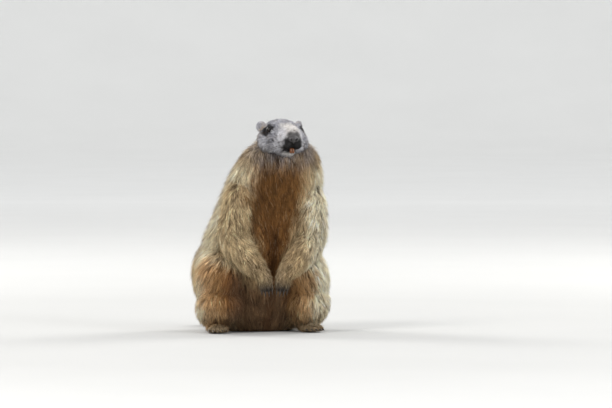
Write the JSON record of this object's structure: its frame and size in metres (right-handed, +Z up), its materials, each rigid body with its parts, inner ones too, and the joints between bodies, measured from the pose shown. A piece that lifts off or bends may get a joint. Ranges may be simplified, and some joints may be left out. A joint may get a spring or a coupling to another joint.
{
  "type": "alpine marmot",
  "caption": "Life-size still model of an alpine marmot sitting upright on its hind feet, forepaws hanging together on its belly, tail laid behind.",
  "frame": {"origin": "middle of the bounding box in plan, at the floor that the model rests on", "axes": "+Z up, -Y the way the marmot faces, +X its left side"},
  "size_m": [0.236, 0.3337, 0.3724],
  "materials": {
    "coat_slate": "short grizzled fur",
    "coat_cream": "long soft fur",
    "coat_tawny": "long soft fur",
    "coat_umber": "dense dark fur",
    "coat_buff": "short fur and bare sole",
    "eye": "wet gloss",
    "nose_skin": "moist bare skin",
    "enamel": "smooth tooth",
    "horn": "smooth claw"
  },
  "bodies": {
    "root": {"claw_foot_left_1": "horn", "claw_foot_left_2": "horn", "claw_foot_left_3": "horn", "claw_foot_left_4": "horn", "claw_foot_left_5": "horn", "claw_foot_right_1": "horn", "claw_foot_right_2": "horn", "claw_foot_right_3": "horn", "claw_foot_right_4": "horn", "claw_foot_right_5": "horn", "claw_hand_left_1": "horn", "claw_hand_left_2": "horn", "claw_hand_left_3": "horn", "claw_hand_left_4": "horn", "claw_hand_right_1": "horn", "claw_hand_right_2": "horn", "claw_hand_right_3": "horn", "claw_hand_right_4": "horn", "ear_left": "coat_slate", "ear_right": "coat_slate", "eye_left": "eye", "eye_right": "eye", "foot_left": "coat_buff", "foot_right": "coat_buff", "forearm_left": "coat_cream", "forearm_right": "coat_cream", "hand_left": "coat_umber", "hand_right": "coat_umber", "head": "coat_slate", "incisor_left": "enamel", "incisor_right": "enamel", "lower_jaw": "coat_slate", "lower_leg_left": "coat_tawny", "lower_leg_right": "coat_tawny", "neck": "coat_cream", "nose": "nose_skin", "tail": "coat_umber", "thigh_left": "coat_tawny", "thigh_right": "coat_tawny", "torso": "coat_cream", "upper_arm_left": "coat_cream", "upper_arm_right": "coat_cream"}
  },
  "joints": []
}
